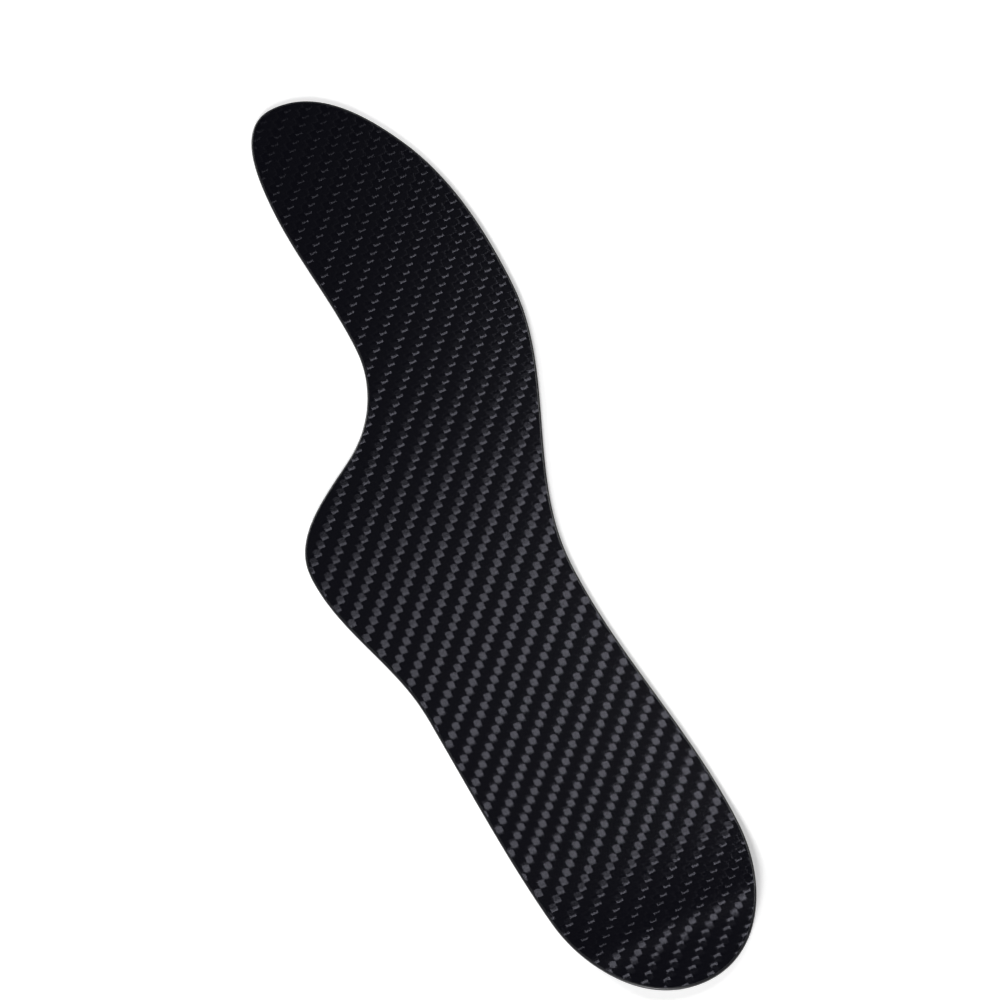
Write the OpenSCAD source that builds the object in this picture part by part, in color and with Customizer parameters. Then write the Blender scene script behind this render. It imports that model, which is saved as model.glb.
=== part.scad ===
// Stiff carbon-fibre foot plate for a left shoe, with an extension under the big toe only.
// It is a laminate of woven face plies and straight-fibre inner plies, with a resin bead round its edge.
// X runs to the inner (big-toe) side, Y from heel to toe, Z up to the foot.
// The origin is under the middle of the plate, on the surface that it lies on.

/* [Heel] */
// Heel, inner side: distance of its widest point from the heel-to-toe line
heel_inner_x = 26.5; // [20:0.5:34]
// Heel, inner side: distance of its widest point from the heel end
heel_inner_y = 37; // [30:0.5:50]
// Heel, outer side: distance of the corner where the side starts, from the heel-to-toe line
heel_outer_x = 30.5; // [24:0.5:38]
// Heel, outer side: distance of that corner from the heel end
heel_outer_y = 33.5; // [26:0.5:44]
// Heel, outer side: how far the side leans away from the heel-to-toe line there, in degrees
heel_outer_lean = 8; // [0:1:16]

/* [Midfoot] */
// Arch, inner side: distance of its narrowest point from the heel-to-toe line
arch_x = 17.5; // [10:0.5:26]
// Arch, inner side: distance of its narrowest point from the heel end
arch_y = 123.5; // [100:0.5:145]
// Midfoot, outer side: distance from the heel-to-toe line
midfoot_outer_x = 36; // [32:0.5:44]
// Midfoot, outer side: distance from the heel end
midfoot_outer_y = 101; // [80:0.5:120]
// Midfoot, outer side: how far the side leans away from the heel-to-toe line there, in degrees
midfoot_outer_lean = 4; // [0:1:14]

/* [Forefoot] */
// Ball of the foot, inner side: distance of its widest point from the heel-to-toe line
ball_x = 37.5; // [30:0.5:46]
// Ball of the foot, inner side: distance of its widest point from the heel end
ball_y = 203.5; // [190:0.5:220]
// Outer shoulder: distance of its widest point from the heel-to-toe line
shoulder_x = 47.5; // [42:0.5:56]
// Outer shoulder: distance of its widest point from the heel end
shoulder_y = 151.5; // [140:0.5:160]
// Slope from the shoulder to the toe extension: distance of its middle from the heel-to-toe line
slope_x = 24.5; // [18:0.5:32]
// Slope from the shoulder to the toe extension: distance of its middle from the heel end
slope_y = 177; // [168:0.5:186]
// Slope from the shoulder to the toe extension: angle across the plate, in degrees
slope_angle = 33; // [20:1:45]

/* [Toe extension] */
// Length of the plate, from the heel end to the tip of the toe extension
plate_length = 280; // [255:1:310]
// Root of the toe extension, outer side: distance from the heel-to-toe line
toe_root_x = 9; // [2:0.5:14]
// Root of the toe extension, outer side: distance from the heel end
toe_root_y = 205.5; // [198:0.5:218]
// Toe, outer side: distance of its widest point from the heel-to-toe line
toe_outer_x = 12.5; // [6:0.5:18]
// Toe, outer side: distance of its widest point back from the tip
toe_outer_back = 27.5; // [18:0.5:34]
// Toe, inner side: distance of its slanting edge from the heel-to-toe line
toe_inner_x = 27.5; // [20:0.5:32]
// Toe, inner side: distance of that edge back from the tip
toe_inner_back = 24; // [16:0.5:32]
// Toe, inner side: slant of that edge towards the outer side, in degrees
toe_inner_slant = 27; // [15:1:40]

/* [Heel lift] */
// Distance from the heel end at which the plate starts to rise
lift_start = 54; // [45:1:70]
// Steepest angle of the rise, in degrees
lift_angle = 7.5; // [3:0.5:10]
// Radius of the hollow bend at the foot of the rise
lift_hollow_radius = 240; // [200:10:450]
// Length of the straight slope, measured along the plate
lift_straight = 3; // [2:1:20]
// Radius of the crown bend at the top of the rise
lift_crown_radius = 45; // [30:5:120]
// Angle at which the plate falls again behind the crown, in degrees
lift_fall = 2; // [0:0.5:4]

/* [Lay-up] */
// Thickness of each woven face ply
twill_ply = 0.22; // [0.16:0.01:0.32]
// Thickness of each straight-fibre lengthwise ply
lengthwise_ply = 0.14; // [0.1:0.01:0.2]
// Thickness of each straight-fibre ply laid at 45 degrees
diagonal_ply = 0.14; // [0.1:0.01:0.2]
// Width of the resin bead, from the plies to the outline
seal_width = 0.6; // [0.5:0.05:1.2]
// Radius that rounds the bead's upper and lower corners
seal_radius = 0.45; // [0.2:0.05:0.5]

/* [Smoothness] */
// Longest straight step along the outline
outline_step = 6; // [2:0.5:8]
// Largest turn between two steps of the outline or of a bend, in degrees
turn_step = 4; // [2:0.5:6]
// Longest straight step along the heel lift
lift_step = 2; // [1:0.5:4]
// Steps round each corner of the resin bead
seal_steps = 3; // [2:1:5]

/* [Hidden] */

twill_black = "#1b1c20";
fibre_black = "#101114";
resin_black = "#26282d";

// Ply thicknesses from the bottom up, and the height of each face between them
ply_stack = [
    twill_ply, lengthwise_ply, diagonal_ply, diagonal_ply,
    diagonal_ply, diagonal_ply, lengthwise_ply, twill_ply
];
function face_height(count) = count == 0 ? 0 : face_height(count - 1) + ply_stack[count - 1];
plate_thickness = face_height(len(ply_stack));

// Outline, anticlockwise from the heel end: each point has its heading, so the curve between two is settled
outline_points = [
    [0, 0, 0],
    [heel_inner_x, heel_inner_y, 90],
    [arch_x, arch_y, 90],
    [ball_x, ball_y, 90],
    [toe_inner_x, plate_length - toe_inner_back, 90 + toe_inner_slant],
    [0, plate_length, 180],
    [-toe_outer_x, plate_length - toe_outer_back, 270],
    [-toe_root_x, toe_root_y, 270],
    [-slope_x, slope_y, 180 + slope_angle],
    [-shoulder_x, shoulder_y, 270],
    [-midfoot_outer_x, midfoot_outer_y, 270 + midfoot_outer_lean],
    [-heel_outer_x, heel_outer_y, 270 + heel_outer_lean]
];

// An angle brought to the range from -180 to 180
function wrapped(angle) = angle - 360 * round(angle / 360);

// Unit vector along a heading
function along(heading) = [cos(heading), sin(heading)];

// Handle length of a smooth span, as a share of its chord, for the angles at its near and far ends
function handle(near, far) =
    let (bend = (sin(near) - sin(far) / 16) * (sin(far) - sin(near) / 16) * (cos(near) - cos(far)))
    let (spread = 1 + (sqrt(5) - 1) / 2 * cos(near) + (3 - sqrt(5)) / 2 * cos(far))
    (2 + sqrt(2) * bend) / (3 * spread);

// Point and inward normal at a share t of a cubic curve with four control points
function cubic(c, t) =
    c[0] * pow(1 - t, 3) + c[1] * 3 * t * pow(1 - t, 2) + c[2] * 3 * t * t * (1 - t) + c[3] * pow(t, 3);
function cubic_slope(c, t) =
    (c[1] - c[0]) * pow(1 - t, 2) + (c[2] - c[1]) * 2 * t * (1 - t) + (c[3] - c[2]) * t * t;
function inward(c, t) =
    let (slope = cubic_slope(c, t))
    [-slope.y, slope.x] / norm(slope);

// Control points of the span from one outline point to the next
function span_controls(from, to) =
    let (start = [from.x, from.y], end = [to.x, to.y])
    let (chord = norm(end - start), heading = atan2(to.y - from.y, to.x - from.x))
    let (near = wrapped(from.z - heading), far = wrapped(heading - to.z))
    [
        start,
        start + along(from.z) * chord * handle(near, far),
        end - along(to.z) * chord * handle(far, near),
        end
    ];

// Number of steps that a span needs for its length and its turn
function span_steps(from, to) =
    let (heading = atan2(to.y - from.y, to.x - from.x))
    let (chord = norm([to.x - from.x, to.y - from.y]))
    let (turn = abs(wrapped(from.z - heading)) + abs(wrapped(heading - to.z)))
    ceil(max(chord / outline_step, turn / turn_step));

// Each rim station is a point of the outline and the unit vector from it into the plate
rim = [
    for (i = [0 : len(outline_points) - 1])
        let (from = outline_points[i], to = outline_points[(i + 1) % len(outline_points)])
        let (controls = span_controls(from, to), steps = span_steps(from, to))
        for (k = [0 : steps - 1])
            [cubic(controls, k / steps), inward(controls, k / steps)]
];

// The rim moved into the plate by a distance
function rim_inset(distance) = [for (station = rim) station[0] + distance * station[1]];

// The outline's box, whose middle is the origin
rim_x = [for (station = rim) station[0].x];
rim_y = [for (station = rim) station[0].y];
middle = [(min(rim_x) + max(rim_x)) / 2, (min(rim_y) + max(rim_y)) / 2];
reach = max(rim_x) - min(rim_x);

// Heel lift: lengths along the plate and heights of its hollow, straight and crown stretches
hollow_length = lift_hollow_radius * sin(lift_angle);
crown_start = hollow_length + lift_straight;
crest = crown_start + lift_crown_radius * sin(lift_angle);
lift_length = crest + lift_crown_radius * sin(lift_fall);
hollow_rise = lift_hollow_radius * (1 - cos(lift_angle));
straight_rise = lift_straight * tan(lift_angle);
crown_rise = lift_crown_radius * (1 - cos(lift_angle));
crown_fall = lift_crown_radius * (1 - cos(lift_fall));
crest_height = hollow_rise + straight_rise + crown_rise;

// Height of the underside at a distance from the heel end
function lift(y) =
    let (run = lift_start - y)
    run <= 0 ? 0 :
    run < hollow_length ? lift_hollow_radius - sqrt(pow(lift_hollow_radius, 2) - run * run) :
    run < crown_start ? hollow_rise + (run - hollow_length) * tan(lift_angle) :
    run < lift_length ?
        crest_height - lift_crown_radius + sqrt(pow(lift_crown_radius, 2) - pow(crest - run, 2)) :
    crest_height - crown_fall - (run - lift_length) * tan(lift_fall);

// Stations along the plate where the side view bends, from behind the heel end to past the toe
function stretch(from, length) =
    let (steps = ceil(length / lift_step))
    [for (k = [0 : steps - 1]) from + length * k / steps];
lift_runs = concat(
    stretch(0, hollow_length),
    stretch(hollow_length, lift_straight),
    stretch(crown_start, lift_length - crown_start),
    [lift_length]
);
overrun = 10;
side_y = concat(
    [plate_length + overrun],
    [for (run = lift_runs) lift_start - run],
    [min(0, lift_start - lift_length) - overrun]
);

// Slab between two heights above the underside, bent to the heel lift and wider than the plate
module bent_slab(low, high) {
    lower = [for (y = side_y) [y, lift(y) + low]];
    upper = [for (i = [len(side_y) - 1 : -1 : 0]) [side_y[i], lift(side_y[i]) + high]];
    translate([middle.x - reach, 0, 0])
        rotate([90, 0, 90])
            linear_extrude(height = 2 * reach)
                polygon(concat(lower, upper));
}

// One ply of the stack, counted from the bottom, trimmed to the inner edge of the resin bead
module ply(index) {
    trim_height = crest_height + plate_thickness + 2 * overrun;
    translate([-middle.x, -middle.y, 0])
        intersection() {
            translate([0, 0, -overrun])
                linear_extrude(height = trim_height)
                    polygon(rim_inset(seal_width));
            bent_slab(face_height(index), face_height(index + 1));
        }
}

// Cross-section of the resin bead: distance in from the outline and height above the underside
seal_section = concat(
    [[seal_width, 0]],
    [
        for (k = [0 : seal_steps])
            let (angle = 90 * k / seal_steps)
            [seal_radius * (1 - sin(angle)), seal_radius * (1 - cos(angle))]
    ],
    [
        for (k = [0 : seal_steps])
            let (angle = 90 * k / seal_steps)
            [seal_radius * (1 - cos(angle)), plate_thickness - seal_radius * (1 - sin(angle))]
    ],
    [[seal_width, plate_thickness]]
);

// A point of the bead: its station on the rim, and its place in the cross-section
function seal_point(station, place) =
    let (at = station[0] + place[0] * station[1])
    [at.x - middle.x, at.y - middle.y, lift(at.y) + place[1]];

module top_twill_ply() {
    color(twill_black) ply(7);
}

module upper_lengthwise_ply() {
    color(fibre_black) ply(6);
}

module upper_plus_45_ply() {
    color(fibre_black) ply(5);
}

module upper_minus_45_ply() {
    color(fibre_black) ply(4);
}

module lower_minus_45_ply() {
    color(fibre_black) ply(3);
}

module lower_plus_45_ply() {
    color(fibre_black) ply(2);
}

module lower_lengthwise_ply() {
    color(fibre_black) ply(1);
}

module bottom_twill_ply() {
    color(twill_black) ply(0);
}

module edge_seal() {
    sides = len(seal_section);
    rings = len(rim);
    points = [for (station = rim) for (place = seal_section) seal_point(station, place)];
    faces = [
        for (i = [0 : rings - 1])
            for (k = [0 : sides - 1])
                let (a = i * sides + k, b = i * sides + (k + 1) % sides)
                let (c = ((i + 1) % rings) * sides + (k + 1) % sides, d = ((i + 1) % rings) * sides + k)
                each [[a, c, b], [a, d, c]]
    ];
    color(resin_black) polyhedron(points, faces);
}

top_twill_ply();
upper_lengthwise_ply();
upper_plus_45_ply();
upper_minus_45_ply();
lower_minus_45_ply();
lower_plus_45_ply();
lower_lengthwise_ply();
bottom_twill_ply();
edge_seal();
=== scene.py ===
import math

import bmesh
import bpy
import numpy as np
from mathutils import Matrix, Vector
from mathutils.geometry import delaunay_2d_cdt


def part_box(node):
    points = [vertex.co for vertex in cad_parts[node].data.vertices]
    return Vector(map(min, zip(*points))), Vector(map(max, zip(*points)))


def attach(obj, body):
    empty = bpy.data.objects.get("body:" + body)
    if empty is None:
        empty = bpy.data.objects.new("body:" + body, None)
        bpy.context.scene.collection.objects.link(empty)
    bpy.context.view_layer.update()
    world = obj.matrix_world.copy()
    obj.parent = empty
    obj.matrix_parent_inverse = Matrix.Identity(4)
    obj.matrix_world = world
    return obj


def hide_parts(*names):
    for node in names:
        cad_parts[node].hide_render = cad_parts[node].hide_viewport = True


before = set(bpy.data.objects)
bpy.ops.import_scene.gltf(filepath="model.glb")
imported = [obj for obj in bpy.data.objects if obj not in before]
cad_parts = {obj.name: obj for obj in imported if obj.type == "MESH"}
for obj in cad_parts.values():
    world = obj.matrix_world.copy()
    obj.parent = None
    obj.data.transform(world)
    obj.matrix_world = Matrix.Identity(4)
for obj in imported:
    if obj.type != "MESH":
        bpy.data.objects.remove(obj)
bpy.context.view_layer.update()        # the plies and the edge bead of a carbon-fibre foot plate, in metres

MM = 0.001
WHITE = (1.0, 1.0, 1.0, 1.0)
HALVES = (0.5, 0.5, 0.5)

# Camera: where it stands, seen from the plate, and how it is turned
CAMERA_TARGET = Vector((12.976, 8.709, 0.0)) * MM
CAMERA_AZIMUTH = math.radians(12.63)
CAMERA_ELEVATION = math.radians(70.4)
CAMERA_ROLL = math.radians(-13.14)
CAMERA_DISTANCE = 2.716
CAMERA_REACH = 50.0
CAMERA_LENS = 360.0
CAMERA_SENSOR = 36.0

# Weave: a 2x2 twill, whose lengthwise tows (warp) lie on top for two crossings and under for two
WARP_PITCH = 1.8587 * MM
WEFT_PITCH = 1.8684 * MM
WEAVE_X = -6.50 * MM
WEAVE_Y = -18.46 * MM
HALF_REPEAT = 2.0        # half of the pattern, in pitches
WEFT_SHIFT = 1.5         # a weft float's middle lies this many pitches before its row's number
WANDER = 0.07            # how far a tow strays at most, in pitches
WANDER_SCALE = 45.0

# Lean of a tow along its float, in slopes: flat in the middle, then bending down to the end that faces
# the heel or the toe. Each bend starts and stops at a distance from the float's middle, in pitches.
WARP_SLOPE = 0.060
WEFT_SLOPE = 0.040
FLOAT_END = 0.83
HEELWARD_BEND = (0.37, 0.75)
TOEWARD_BEND = (0.37, 0.58)
WEFT_BEND = (0.62, 0.85)
BEND_BOW = 0.2
BOW_POWER = 3.0
BEND_SKEW = 0.1
SIDE_SLOPE = 0.04
SIDE_POWER = 4.0
FLOAT_JITTER = 0.005
WEFT_CHANCE = 7.0        # keeps the chances of weft floats apart from those of warp floats

# Filaments: streaks along each tow, and how far they tip it
FILAMENTS = 4000.0
FILAMENT_RUN = 0.05
FILAMENT_SLOPE = 0.005

# Twill: the colour between filaments, the tows' colours, and the shine of fibres and resin. The warp is
# painted a little lighter than the weft, a painted highlight for the light that its floats catch
TWILL_DARK = (0.0010, 0.0010, 0.0028, 1.0)
WEFT_COLOUR = (0.0018, 0.0018, 0.0044, 1.0)
# painted highlight: the warp a little lighter than the weft, though both are the same dark fibre
WARP_COLOUR_PAINTED_LIGHTER = (0.0024, 0.0024, 0.0052, 1.0)
TWILL_SHINE = (0.85, 0.85, 1.0, 1.0)
TWILL_ROUGHNESS = (0.24, 0.265)
COAT_WEIGHT = 0.2
COAT_ROUGHNESS = 0.21
RESIN_IOR = 1.5

# Edge resin: thin layers and clouds, as noise scales, and the colours and roughness that they range over
RESIN_LAYERS = (300.0, 300.0, 7000.0)
RESIN_CLOUDS = 500.0
RESIN_COLOURS = ((0.004, 0.0042, 0.0055, 1.0), (0.02, 0.0205, 0.024, 1.0))
RESIN_ROUGHNESS = (0.2, 0.45)
RESIN_BUMP = 0.15
RESIN_BUMP_HEIGHT = 0.05 * MM

# Inner plies: how their fibres lie to the plate's length, in degrees, and how they look
INNER_ANGLES = {"lengthwise": 0.0, "plus_45": 45.0, "minus_45": -45.0}
INNER_STREAKS = (6000.0, 150.0, 150.0)
INNER_COLOURS = ((0.004, 0.0042, 0.005, 1.0), (0.011, 0.0115, 0.013, 1.0))
INNER_ROUGHNESS = 0.45

# Floor and world: the sky fades from white to dim between two heights on a unit sphere
FLOOR_HALF = 4.0
FLOOR_HEIGHT = -0.02 * MM
FLOOR_COLOUR = (0.9, 0.9, 0.9, 1.0)
FLOOR_ROUGHNESS = 0.9
FLOOR_GLOW = 0.4
SKY_FADE = (0.02, 0.16)
OVERHEAD = 0.02

# Lamps, which all face the plate's middle
LAMPS = {
    "key": {"place": (0.395, 0.294, 1.073), "size": (0.3, 0.19), "watts": 2.14},
    "sheen": {"place": (-0.05, 0.31, 1.073), "size": (0.5, 0.158), "watts": 0.05},
    "front_fill": {"place": (-0.9, -1.3, 1.0), "size": (0.6, 0.6), "watts": 31.0},
    "back_fill": {"place": (-1.0, 1.8, 0.8), "size": (0.6, 0.6), "watts": 30.0},
}

# Mesh fineness
RIM_STEPS = 4
BEAD_STEPS = 6
BEAD_RADIUS = 0.45 * MM
GRID_X = 6.0 * MM
GRID_Y = 1.0 * MM
LIFT_SAMPLE = 0.5 * MM
LIFT_SMOOTH = 2.0 * MM
WELD = 1e-6
STRAIGHT = 1e-7
FACES_UP = 0.5           # least height of a normal that points up
SHARP_ANGLE = math.radians(50)
INSIDE_ONLY = 1          # the triangulation keeps what lies inside the outline
TRIANGULATION_WELD = 1e-7


# Shape of the plate, read from the frame

def cad_rim(node):
    """The upper rim of a CAD ply as an ordered loop of points."""
    mesh = bmesh.new()
    mesh.from_mesh(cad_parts[node].data)
    bmesh.ops.remove_doubles(mesh, verts=mesh.verts, dist=WELD)
    neighbours = {}
    for edge in mesh.edges:
        if sum(face.normal.z > FACES_UP for face in edge.link_faces) == 1:
            for a, b in (edge.verts, reversed(edge.verts)):
                neighbours.setdefault(a, []).append(b)
    vertex = min(neighbours, key=lambda v: v.co.y)
    before = min(neighbours[vertex], key=lambda v: v.co.x)
    loop = []
    while len(loop) < len(neighbours):
        loop.append(vertex.co.copy())
        after = [v for v in neighbours[vertex] if v is not before][0]
        before, vertex = vertex, after
    mesh.free()
    return np.array(loop)


def without_straight_points(loop):
    """The loop without the points that lie on the straight line between their neighbours."""
    ahead = np.roll(loop, -1, axis=0) - loop
    behind = loop - np.roll(loop, 1, axis=0)
    off_line = np.abs(behind[:, 0] * ahead[:, 1] - behind[:, 1] * ahead[:, 0])
    return loop[off_line > STRAIGHT * np.linalg.norm(ahead + behind, axis=1)]


def smooth_loop(points, steps):
    """A closed smooth curve through the points, with the given number of steps to each span."""
    ahead = np.roll(points, -1, axis=0) - points
    span = np.linalg.norm(ahead, axis=1)[:, None]
    behind, span_behind = np.roll(ahead, 1, axis=0), np.roll(span, 1, axis=0)
    slope = (ahead / span * span_behind + behind / span_behind * span) / (span + span_behind)
    slope_end, end = np.roll(slope, -1, axis=0), np.roll(points, -1, axis=0)
    curve = []
    for t in np.arange(steps) / steps:
        from_start, from_end = (1 + 2 * t) * (1 - t) ** 2, t * t * (3 - 2 * t)
        along_start, along_end = t * (1 - t) ** 2, t * t * (t - 1)
        swing = span * (along_start * slope + along_end * slope_end)
        curve.append(from_start * points + from_end * end + swing)
    return np.stack(curve, axis=1).reshape(-1, 2)


def outward(loop):
    """Unit vectors out of an anticlockwise loop."""
    along = np.roll(loop, -1, axis=0) - np.roll(loop, 1, axis=0)
    along /= np.linalg.norm(along, axis=1)[:, None]
    return np.stack([along[:, 1], -along[:, 0]], axis=1)


def smoothed(values, width):
    """Values averaged twice over a window, with the ends held."""
    half = width // 2
    window = np.ones(2 * half + 1) / (2 * half + 1)
    for _ in range(2):
        values = np.convolve(np.pad(values, half, mode="edge"), window, mode="valid")
    return values


top_rim = cad_rim("top_twill_ply")
top_flat = top_rim[:, 2].min()
twill_thickness = top_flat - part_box("top_twill_ply")[0].z
seal_low, seal_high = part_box("edge_seal")
ply_low, ply_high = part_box("top_twill_ply")
seal_width = ((seal_high.x - seal_low.x) - (ply_high.x - ply_low.x)) / 2

ply_outline = smooth_loop(without_straight_points(top_rim[:, :2]), RIM_STEPS)
bead_outward = outward(ply_outline)

by_y = np.argsort(top_rim[:, 1])
lift_y = np.arange(seal_low.y, seal_high.y, LIFT_SAMPLE)
lift_z = np.interp(lift_y, top_rim[by_y, 1], top_rim[by_y, 2] - top_flat)
lift_z = smoothed(lift_z, int(LIFT_SMOOTH / LIFT_SAMPLE))


def lift(y):
    """Height of the plate's underside at a place along it."""
    return np.interp(y, lift_y, lift_z)


# Pieces

def new_piece(name, points, faces, material, replaced):
    """A smooth mesh piece that rides on the plate and stands for a CAD node."""
    mesh = bpy.data.meshes.new(name)
    mesh.from_pydata([tuple(p) for p in points], [], faces)
    mesh.validate()
    piece = bpy.data.objects.new(name, mesh)
    bpy.context.scene.collection.objects.link(piece)
    mesh.shade_smooth()
    mesh.set_sharp_from_angle(angle=SHARP_ANGLE)
    mesh.materials.append(material)
    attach(piece, "root")
    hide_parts(replaced)


def sheet_points(outline):
    """Points on an outline and on an even grid inside it, and the triangles between them."""
    low, high = outline.min(axis=0), outline.max(axis=0)
    grid_x = np.arange(low[0], high[0], GRID_X)
    grid_y = np.arange(low[1], high[1], GRID_Y)
    grid = [Vector((x, y)) for y in grid_y for x in grid_x]
    rim = [Vector(p) for p in outline]
    loop = [(i, (i + 1) % len(rim)) for i in range(len(rim))]
    result = delaunay_2d_cdt(rim + grid, loop, [], INSIDE_ONLY, TRIANGULATION_WELD)
    return np.array([tuple(p) for p in result[0]]), [tuple(f) for f in result[2]]


def twill_sheet(name, low, high, material, replaced):
    """A woven face ply between two heights above the underside, bent to the heel lift."""
    flat, triangles = sheet_points(ply_outline)
    count = len(flat)
    rise = lift(flat[:, 1])
    upper = np.column_stack([flat, rise + high])
    lower = np.column_stack([flat, rise + low])
    faces = list(triangles)
    faces += [tuple(i + count for i in reversed(t)) for t in triangles]
    edges = [(t[i], t[(i + 1) % 3]) for t in triangles for i in range(3)]
    shared = {(b, a) for a, b in edges}
    faces += [(b, a, a + count, b + count) for a, b in edges if (a, b) not in shared]
    new_piece(name, np.vstack([upper, lower]), faces, material, replaced)


def edge_bead(name, material):
    """The rounded resin bead round the plies, as a section swept along their outline."""
    quarter = np.linspace(0, math.pi / 2, BEAD_STEPS + 1)
    reach = seal_width - BEAD_RADIUS
    lower_turn = [
        (reach + BEAD_RADIUS * math.sin(a), BEAD_RADIUS * (1 - math.cos(a)))
        for a in quarter
    ]
    upper_turn = [
        (reach + BEAD_RADIUS * math.cos(a), top_flat - BEAD_RADIUS * (1 - math.sin(a)))
        for a in quarter
    ]
    section = [(0.0, 0.0)] + lower_turn + upper_turn + [(0.0, top_flat)]
    points = []
    for station, out in zip(ply_outline, bead_outward):
        for distance, height in section:
            x, y = station + distance * out
            points.append((x, y, lift(y) + height))
    rings, sides = len(ply_outline), len(section)
    faces = []
    for i in range(rings):
        for k in range(sides):
            here, there = i * sides, ((i + 1) % rings) * sides
            faces.append((here + k, there + k, there + (k + 1) % sides, here + (k + 1) % sides))
    new_piece(name, points, faces, material, "edge_seal")


# Materials

class Shader:
    """Short calls that add nodes to one material and link them."""

    # Sockets of the Mix node for each kind of value: the first value's and the result's
    MIX_INPUT = {"FLOAT": 2, "VECTOR": 4, "RGBA": 6}
    MIX_OUTPUT = {"FLOAT": 0, "VECTOR": 1, "RGBA": 2}

    def __init__(self, name):
        self.material = bpy.data.materials.new(name)
        self.material.use_nodes = True
        self.tree = self.material.node_tree
        self.principled = self.tree.nodes["Principled BSDF"]

    def put(self, socket, value):
        """Links a socket to another node's output, or sets it to a constant."""
        if isinstance(value, bpy.types.NodeSocket):
            self.tree.links.new(value, socket)
        else:
            socket.default_value = value

    def node(self, kind, output=0, inputs=(), **settings):
        node = self.tree.nodes.new(kind)
        for name, value in settings.items():
            setattr(node, name, value)
        for key, value in dict(inputs).items():
            self.put(node.inputs[key], value)
        return node.outputs[output]

    def math(self, operation, *values):
        return self.node("ShaderNodeMath", operation=operation, inputs=enumerate(values))

    def vector(self, operation, *values):
        return self.node("ShaderNodeVectorMath", operation=operation, inputs=enumerate(values))

    def combine(self, x, y, z):
        return self.node("ShaderNodeCombineXYZ", inputs={"X": x, "Y": y, "Z": z})

    def mix(self, factor, low, high, kind="FLOAT"):
        first = self.MIX_INPUT[kind]
        inputs = {0: factor, first: low, first + 1: high}
        return self.node("ShaderNodeMix", self.MIX_OUTPUT[kind], inputs, data_type=kind)

    def noise(self, vector, scale, detail, output=0):
        inputs = {"Vector": vector, "Scale": scale, "Detail": detail}
        return self.node("ShaderNodeTexNoise", output, inputs)

    def split(self, vector):
        """The X, Y and Z outputs of a vector."""
        node = self.tree.nodes.new("ShaderNodeSeparateXYZ")
        self.put(node.inputs[0], vector)
        return node.outputs

    def set(self, **values):
        """Sets inputs of the material's own shader, by their names with _ for a space."""
        for name, value in values.items():
            self.put(self.principled.inputs[name.replace("_", " ")], value)


def weave_place(s, place):
    """Where a point lies in the weave, in pitches across the warp tows and across the weft tows."""
    at = s.split(place)
    wander = s.noise(place, scale=WANDER_SCALE, detail=1.0, output="Color")
    drift = s.split(s.vector("SUBTRACT", wander, HALVES))

    def in_pitches(axis, start, pitch):
        straight = s.math("DIVIDE", s.math("SUBTRACT", at[axis], start), pitch)
        return s.math("MULTIPLY_ADD", drift[axis], 2 * WANDER, straight)

    return in_pitches("X", WEAVE_X, WARP_PITCH), in_pitches("Y", WEAVE_Y, WEFT_PITCH)


def from_middle(s, place):
    """Signed distance from the nearest middle of a float, in pitches along the tow."""
    return s.math("WRAP", place, HALF_REPEAT, -HALF_REPEAT)


def along_lean(s, along, across, steepest, low_bend, high_bend):
    """How steeply a tow dips towards the ends of its float."""
    end = s.math("SIGN", along)
    aside = s.math("ABSOLUTE", s.math("MULTIPLY", across, 2.0))
    bow = s.math("MULTIPLY", s.math("POWER", aside, BOW_POWER), BEND_BOW)
    skew = s.math("MULTIPLY", s.math("MULTIPLY", across, end), BEND_SKEW)
    reach = s.math("ADD", s.math("ABSOLUTE", along), s.math("ADD", bow, skew))
    low = s.math("LESS_THAN", along, 0.0)
    start, stop = (s.mix(low, high_bend[i], low_bend[i]) for i in (0, 1))
    bend = s.node("ShaderNodeMapRange", 0, {
        "Value": reach, "From Min": start, "From Max": stop, "To Max": steepest,
    }, interpolation_type="SMOOTHSTEP")
    return s.math("MULTIPLY", bend, end)


def side_lean(s, across):
    """How steeply a tow falls away towards its sides."""
    double = s.math("MULTIPLY", across, 2.0)
    near_side = s.math("POWER", s.math("ABSOLUTE", double), SIDE_POWER)
    return s.math("MULTIPLY", s.math("MULTIPLY", double, near_side), SIDE_SLOPE)


def float_jitter(s, middle):
    """A small lean of its own for each float, drawn from the place of its middle in the weave."""
    number = s.vector("FLOOR", s.vector("ADD", middle, HALVES))
    chance = s.node("ShaderNodeTexWhiteNoise", "Color", {"Vector": number}, noise_dimensions="3D")
    spread = s.vector("SUBTRACT", chance, HALVES)
    return s.vector("MULTIPLY", spread, (FLOAT_JITTER, FLOAT_JITTER, 0.0))


def filament_streaks(s, place, on_top):
    """Noise that is drawn out along the fibres of the tow that shows."""
    along_weft = s.vector("MULTIPLY", place, (FILAMENTS * FILAMENT_RUN, FILAMENTS, 0.0))
    along_warp = s.vector("MULTIPLY", place, (FILAMENTS, FILAMENTS * FILAMENT_RUN, 0.0))
    return s.noise(s.mix(on_top, along_weft, along_warp, "VECTOR"), scale=1.0, detail=2.0)


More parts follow.
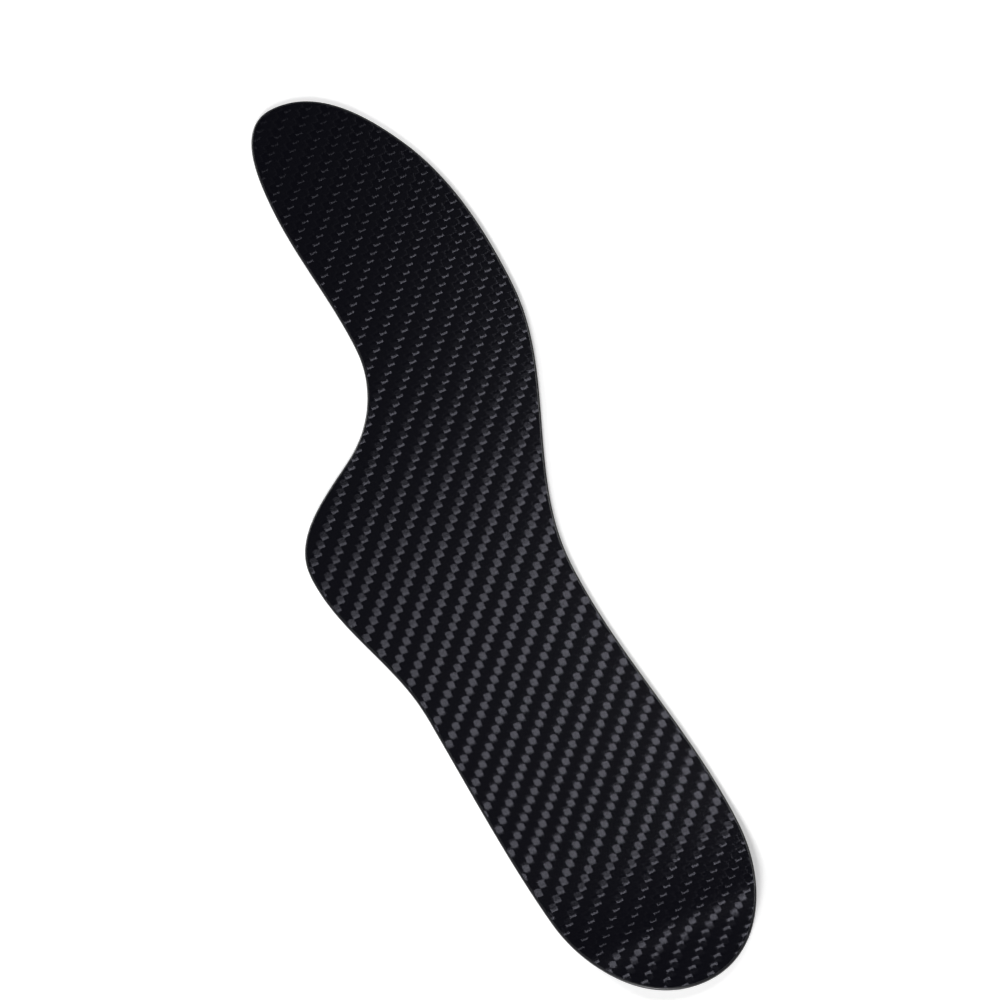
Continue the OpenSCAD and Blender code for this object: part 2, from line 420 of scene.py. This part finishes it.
def twill_material():
    """Woven carbon in clear resin: tows that cross, each shining across its fibres."""
    s = Shader("carbon_twill")
    place = s.node("ShaderNodeTexCoord", "Object")
    u, v = weave_place(s, place)
    column = s.math("FLOOR", s.math("ADD", u, 0.5))
    row = s.math("FLOOR", v)
    warp_across = s.math("SUBTRACT", u, column)
    warp_along = from_middle(s, s.math("SUBTRACT", v, column))
    weft_across = s.math("SUBTRACT", s.math("SUBTRACT", v, row), 0.5)
    weft_along = from_middle(s, s.math("ADD", s.math("SUBTRACT", u, row), WEFT_SHIFT))
    on_top = s.math("LESS_THAN", s.math("ABSOLUTE", warp_along), FLOAT_END)

    warp_middle = s.combine(column, s.math("SUBTRACT", v, warp_along), 0.0)
    weft_middle = s.combine(s.math("SUBTRACT", u, weft_along), row, WEFT_CHANCE)
    jitter = float_jitter(s, s.mix(on_top, weft_middle, warp_middle, "VECTOR"))
    streak = filament_streaks(s, place, on_top)
    tip = s.math("MULTIPLY", s.math("SUBTRACT", streak, 0.5), FILAMENT_SLOPE)

    warp_fall = along_lean(s, warp_along, warp_across, WARP_SLOPE, HEELWARD_BEND, TOEWARD_BEND)
    weft_fall = along_lean(s, weft_along, weft_across, WEFT_SLOPE, WEFT_BEND, WEFT_BEND)
    warp_lean = s.combine(side_lean(s, warp_across), s.math("ADD", warp_fall, tip), 0.0)
    weft_lean = s.combine(s.math("ADD", weft_fall, tip), side_lean(s, weft_across), 0.0)
    lean = s.vector("ADD", s.mix(on_top, weft_lean, warp_lean, "VECTOR"), jitter)
    surface = s.node("ShaderNodeNewGeometry", "Normal")

    # warp floats take the lighter warp colour, a painted highlight in the base colour
    tow = s.mix(on_top, WEFT_COLOUR, WARP_COLOUR_PAINTED_LIGHTER, "RGBA")
    s.set(
        Base_Color=s.mix(streak, TWILL_DARK, tow, "RGBA"),
        Roughness=s.mix(streak, *TWILL_ROUGHNESS),
        Anisotropic=1.0,
        Tangent=s.mix(on_top, (0.0, 1.0, 0.0), (1.0, 0.0, 0.0), "VECTOR"),
        Normal=s.vector("NORMALIZE", s.vector("ADD", surface, lean)),
        IOR=RESIN_IOR,
        Specular_Tint=TWILL_SHINE,
        Coat_Weight=COAT_WEIGHT,
        Coat_Roughness=COAT_ROUGHNESS,
    )
    return s.material


def resin_material():
    """Dark cloudy resin over the trimmed edge, with the plies showing through as thin layers."""
    s = Shader("edge_resin")
    place = s.node("ShaderNodeTexCoord", "Object")
    layers = s.noise(s.vector("MULTIPLY", place, RESIN_LAYERS), scale=1.0, detail=2.0)
    cloud = s.noise(place, scale=RESIN_CLOUDS, detail=3.0)
    bump = {"Height": cloud, "Strength": RESIN_BUMP, "Distance": RESIN_BUMP_HEIGHT}
    s.set(
        Base_Color=s.mix(layers, *RESIN_COLOURS, "RGBA"),
        Roughness=s.mix(cloud, *RESIN_ROUGHNESS),
        Normal=s.node("ShaderNodeBump", 0, bump),
        IOR=RESIN_IOR,
    )
    return s.material


def inner_material(name, angle):
    """A straight-fibre ply inside the plate, with its fibres at an angle to its length."""
    s = Shader(name)
    place = s.node("ShaderNodeTexCoord", "Object")
    turn = {"Vector": place, "Angle": angle}
    turned = s.node("ShaderNodeVectorRotate", 0, turn, rotation_type="Z_AXIS")
    streak = s.noise(s.vector("MULTIPLY", turned, INNER_STREAKS), scale=1.0, detail=2.0)
    s.set(
        Base_Color=s.mix(streak, *INNER_COLOURS, "RGBA"),
        Roughness=INNER_ROUGHNESS,
    )
    return s.material


twill = twill_material()
twill_sheet("top_twill_face", top_flat - twill_thickness, top_flat, twill, "top_twill_ply")
twill_sheet("bottom_twill_face", 0.0, twill_thickness, twill, "bottom_twill_ply")
edge_bead("edge_bead", resin_material())

for part, angle in INNER_ANGLES.items():
    inner = inner_material("straight_fibre_" + part, math.radians(angle))
    for level in ("upper", "lower"):
        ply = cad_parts[f"{level}_{part}_ply"]
        ply.data.materials.clear()
        ply.data.materials.append(inner)


# Camera, floor and light

def add_camera():
    forward = Vector((
        math.sin(CAMERA_AZIMUTH) * math.cos(CAMERA_ELEVATION),
        math.cos(CAMERA_AZIMUTH) * math.cos(CAMERA_ELEVATION),
        -math.sin(CAMERA_ELEVATION),
    ))
    level = Vector((math.cos(CAMERA_AZIMUTH), -math.sin(CAMERA_AZIMUTH), 0.0))
    upright = level.cross(forward)
    right = level * math.cos(CAMERA_ROLL) + upright * math.sin(CAMERA_ROLL)
    up = right.cross(forward)
    turn = Matrix((right, up, -forward)).transposed().to_4x4()
    data = bpy.data.cameras.new("camera")
    data.lens = CAMERA_LENS
    data.sensor_width = CAMERA_SENSOR
    data.clip_end = CAMERA_REACH
    camera = bpy.data.objects.new("camera", data)
    camera.matrix_world = Matrix.Translation(CAMERA_TARGET - forward * CAMERA_DISTANCE) @ turn
    bpy.context.scene.collection.objects.link(camera)
    bpy.context.scene.camera = camera


def facing_middle(place):
    """A rotation that turns a lamp at a place to the plate's middle, its X side square to the plate's Y."""
    back = Vector(place).normalized()
    side = Vector((0.0, 1.0, 0.0)).cross(back).normalized()
    return Matrix((side, back.cross(side), back)).transposed().to_quaternion()


def add_lamp(name, place, size, watts):
    data = bpy.data.lights.new(name, "AREA")
    data.shape = "RECTANGLE"
    data.size, data.size_y = size
    data.energy = watts
    lamp = bpy.data.objects.new(name, data)
    lamp.location = place
    lamp.rotation_mode = "QUATERNION"
    lamp.rotation_quaternion = facing_middle(place)
    bpy.context.scene.collection.objects.link(lamp)


def add_floor():
    """A wide plain floor that shows white where no shadow falls on it."""
    mesh = bpy.data.meshes.new("floor")
    signs = ((-1, -1), (1, -1), (1, 1), (-1, 1))
    corners = [(x * FLOOR_HALF, y * FLOOR_HALF, FLOOR_HEIGHT) for x, y in signs]
    mesh.from_pydata(corners, [], [(0, 1, 2, 3)])
    floor = bpy.data.objects.new("floor", mesh)
    bpy.context.scene.collection.objects.link(floor)
    s = Shader("floor")
    rays = s.tree.nodes.new("ShaderNodeLightPath").outputs
    mirrored = s.math("ADD", rays["Is Glossy Ray"], rays["Is Transmission Ray"])
    seen = s.math("MINIMUM", s.math("ADD", rays["Is Camera Ray"], mirrored), 1.0)
    s.set(
        Base_Color=FLOOR_COLOUR,
        Roughness=FLOOR_ROUGHNESS,
        Specular_IOR_Level=0.0,
        Emission_Color=WHITE,
        Emission_Strength=s.math("MULTIPLY", seen, FLOOR_GLOW),
    )
    mesh.materials.append(s.material)


def add_world():
    """Soft light: white round the horizon, dim overhead."""
    world = bpy.data.worlds.new("world")
    world.use_nodes = True
    tree = world.node_tree
    direction = tree.nodes.new("ShaderNodeTexCoord").outputs["Generated"]
    split = tree.nodes.new("ShaderNodeSeparateXYZ")
    strength = tree.nodes.new("ShaderNodeMapRange")
    strength.interpolation_type = "SMOOTHSTEP"
    fade = {"From Min": SKY_FADE[0], "From Max": SKY_FADE[1], "To Min": 1.0, "To Max": OVERHEAD}
    for name, value in fade.items():
        strength.inputs[name].default_value = value
    background = tree.nodes["Background"]
    background.inputs["Color"].default_value = WHITE
    tree.links.new(direction, split.inputs[0])
    tree.links.new(split.outputs["Z"], strength.inputs["Value"])
    tree.links.new(strength.outputs[0], background.inputs["Strength"])
    bpy.context.scene.world = world


add_camera()
add_floor()
add_world()
for name, lamp in LAMPS.items():
    add_lamp(name, **lamp)

bpy.context.scene.view_settings.view_transform = "Standard"
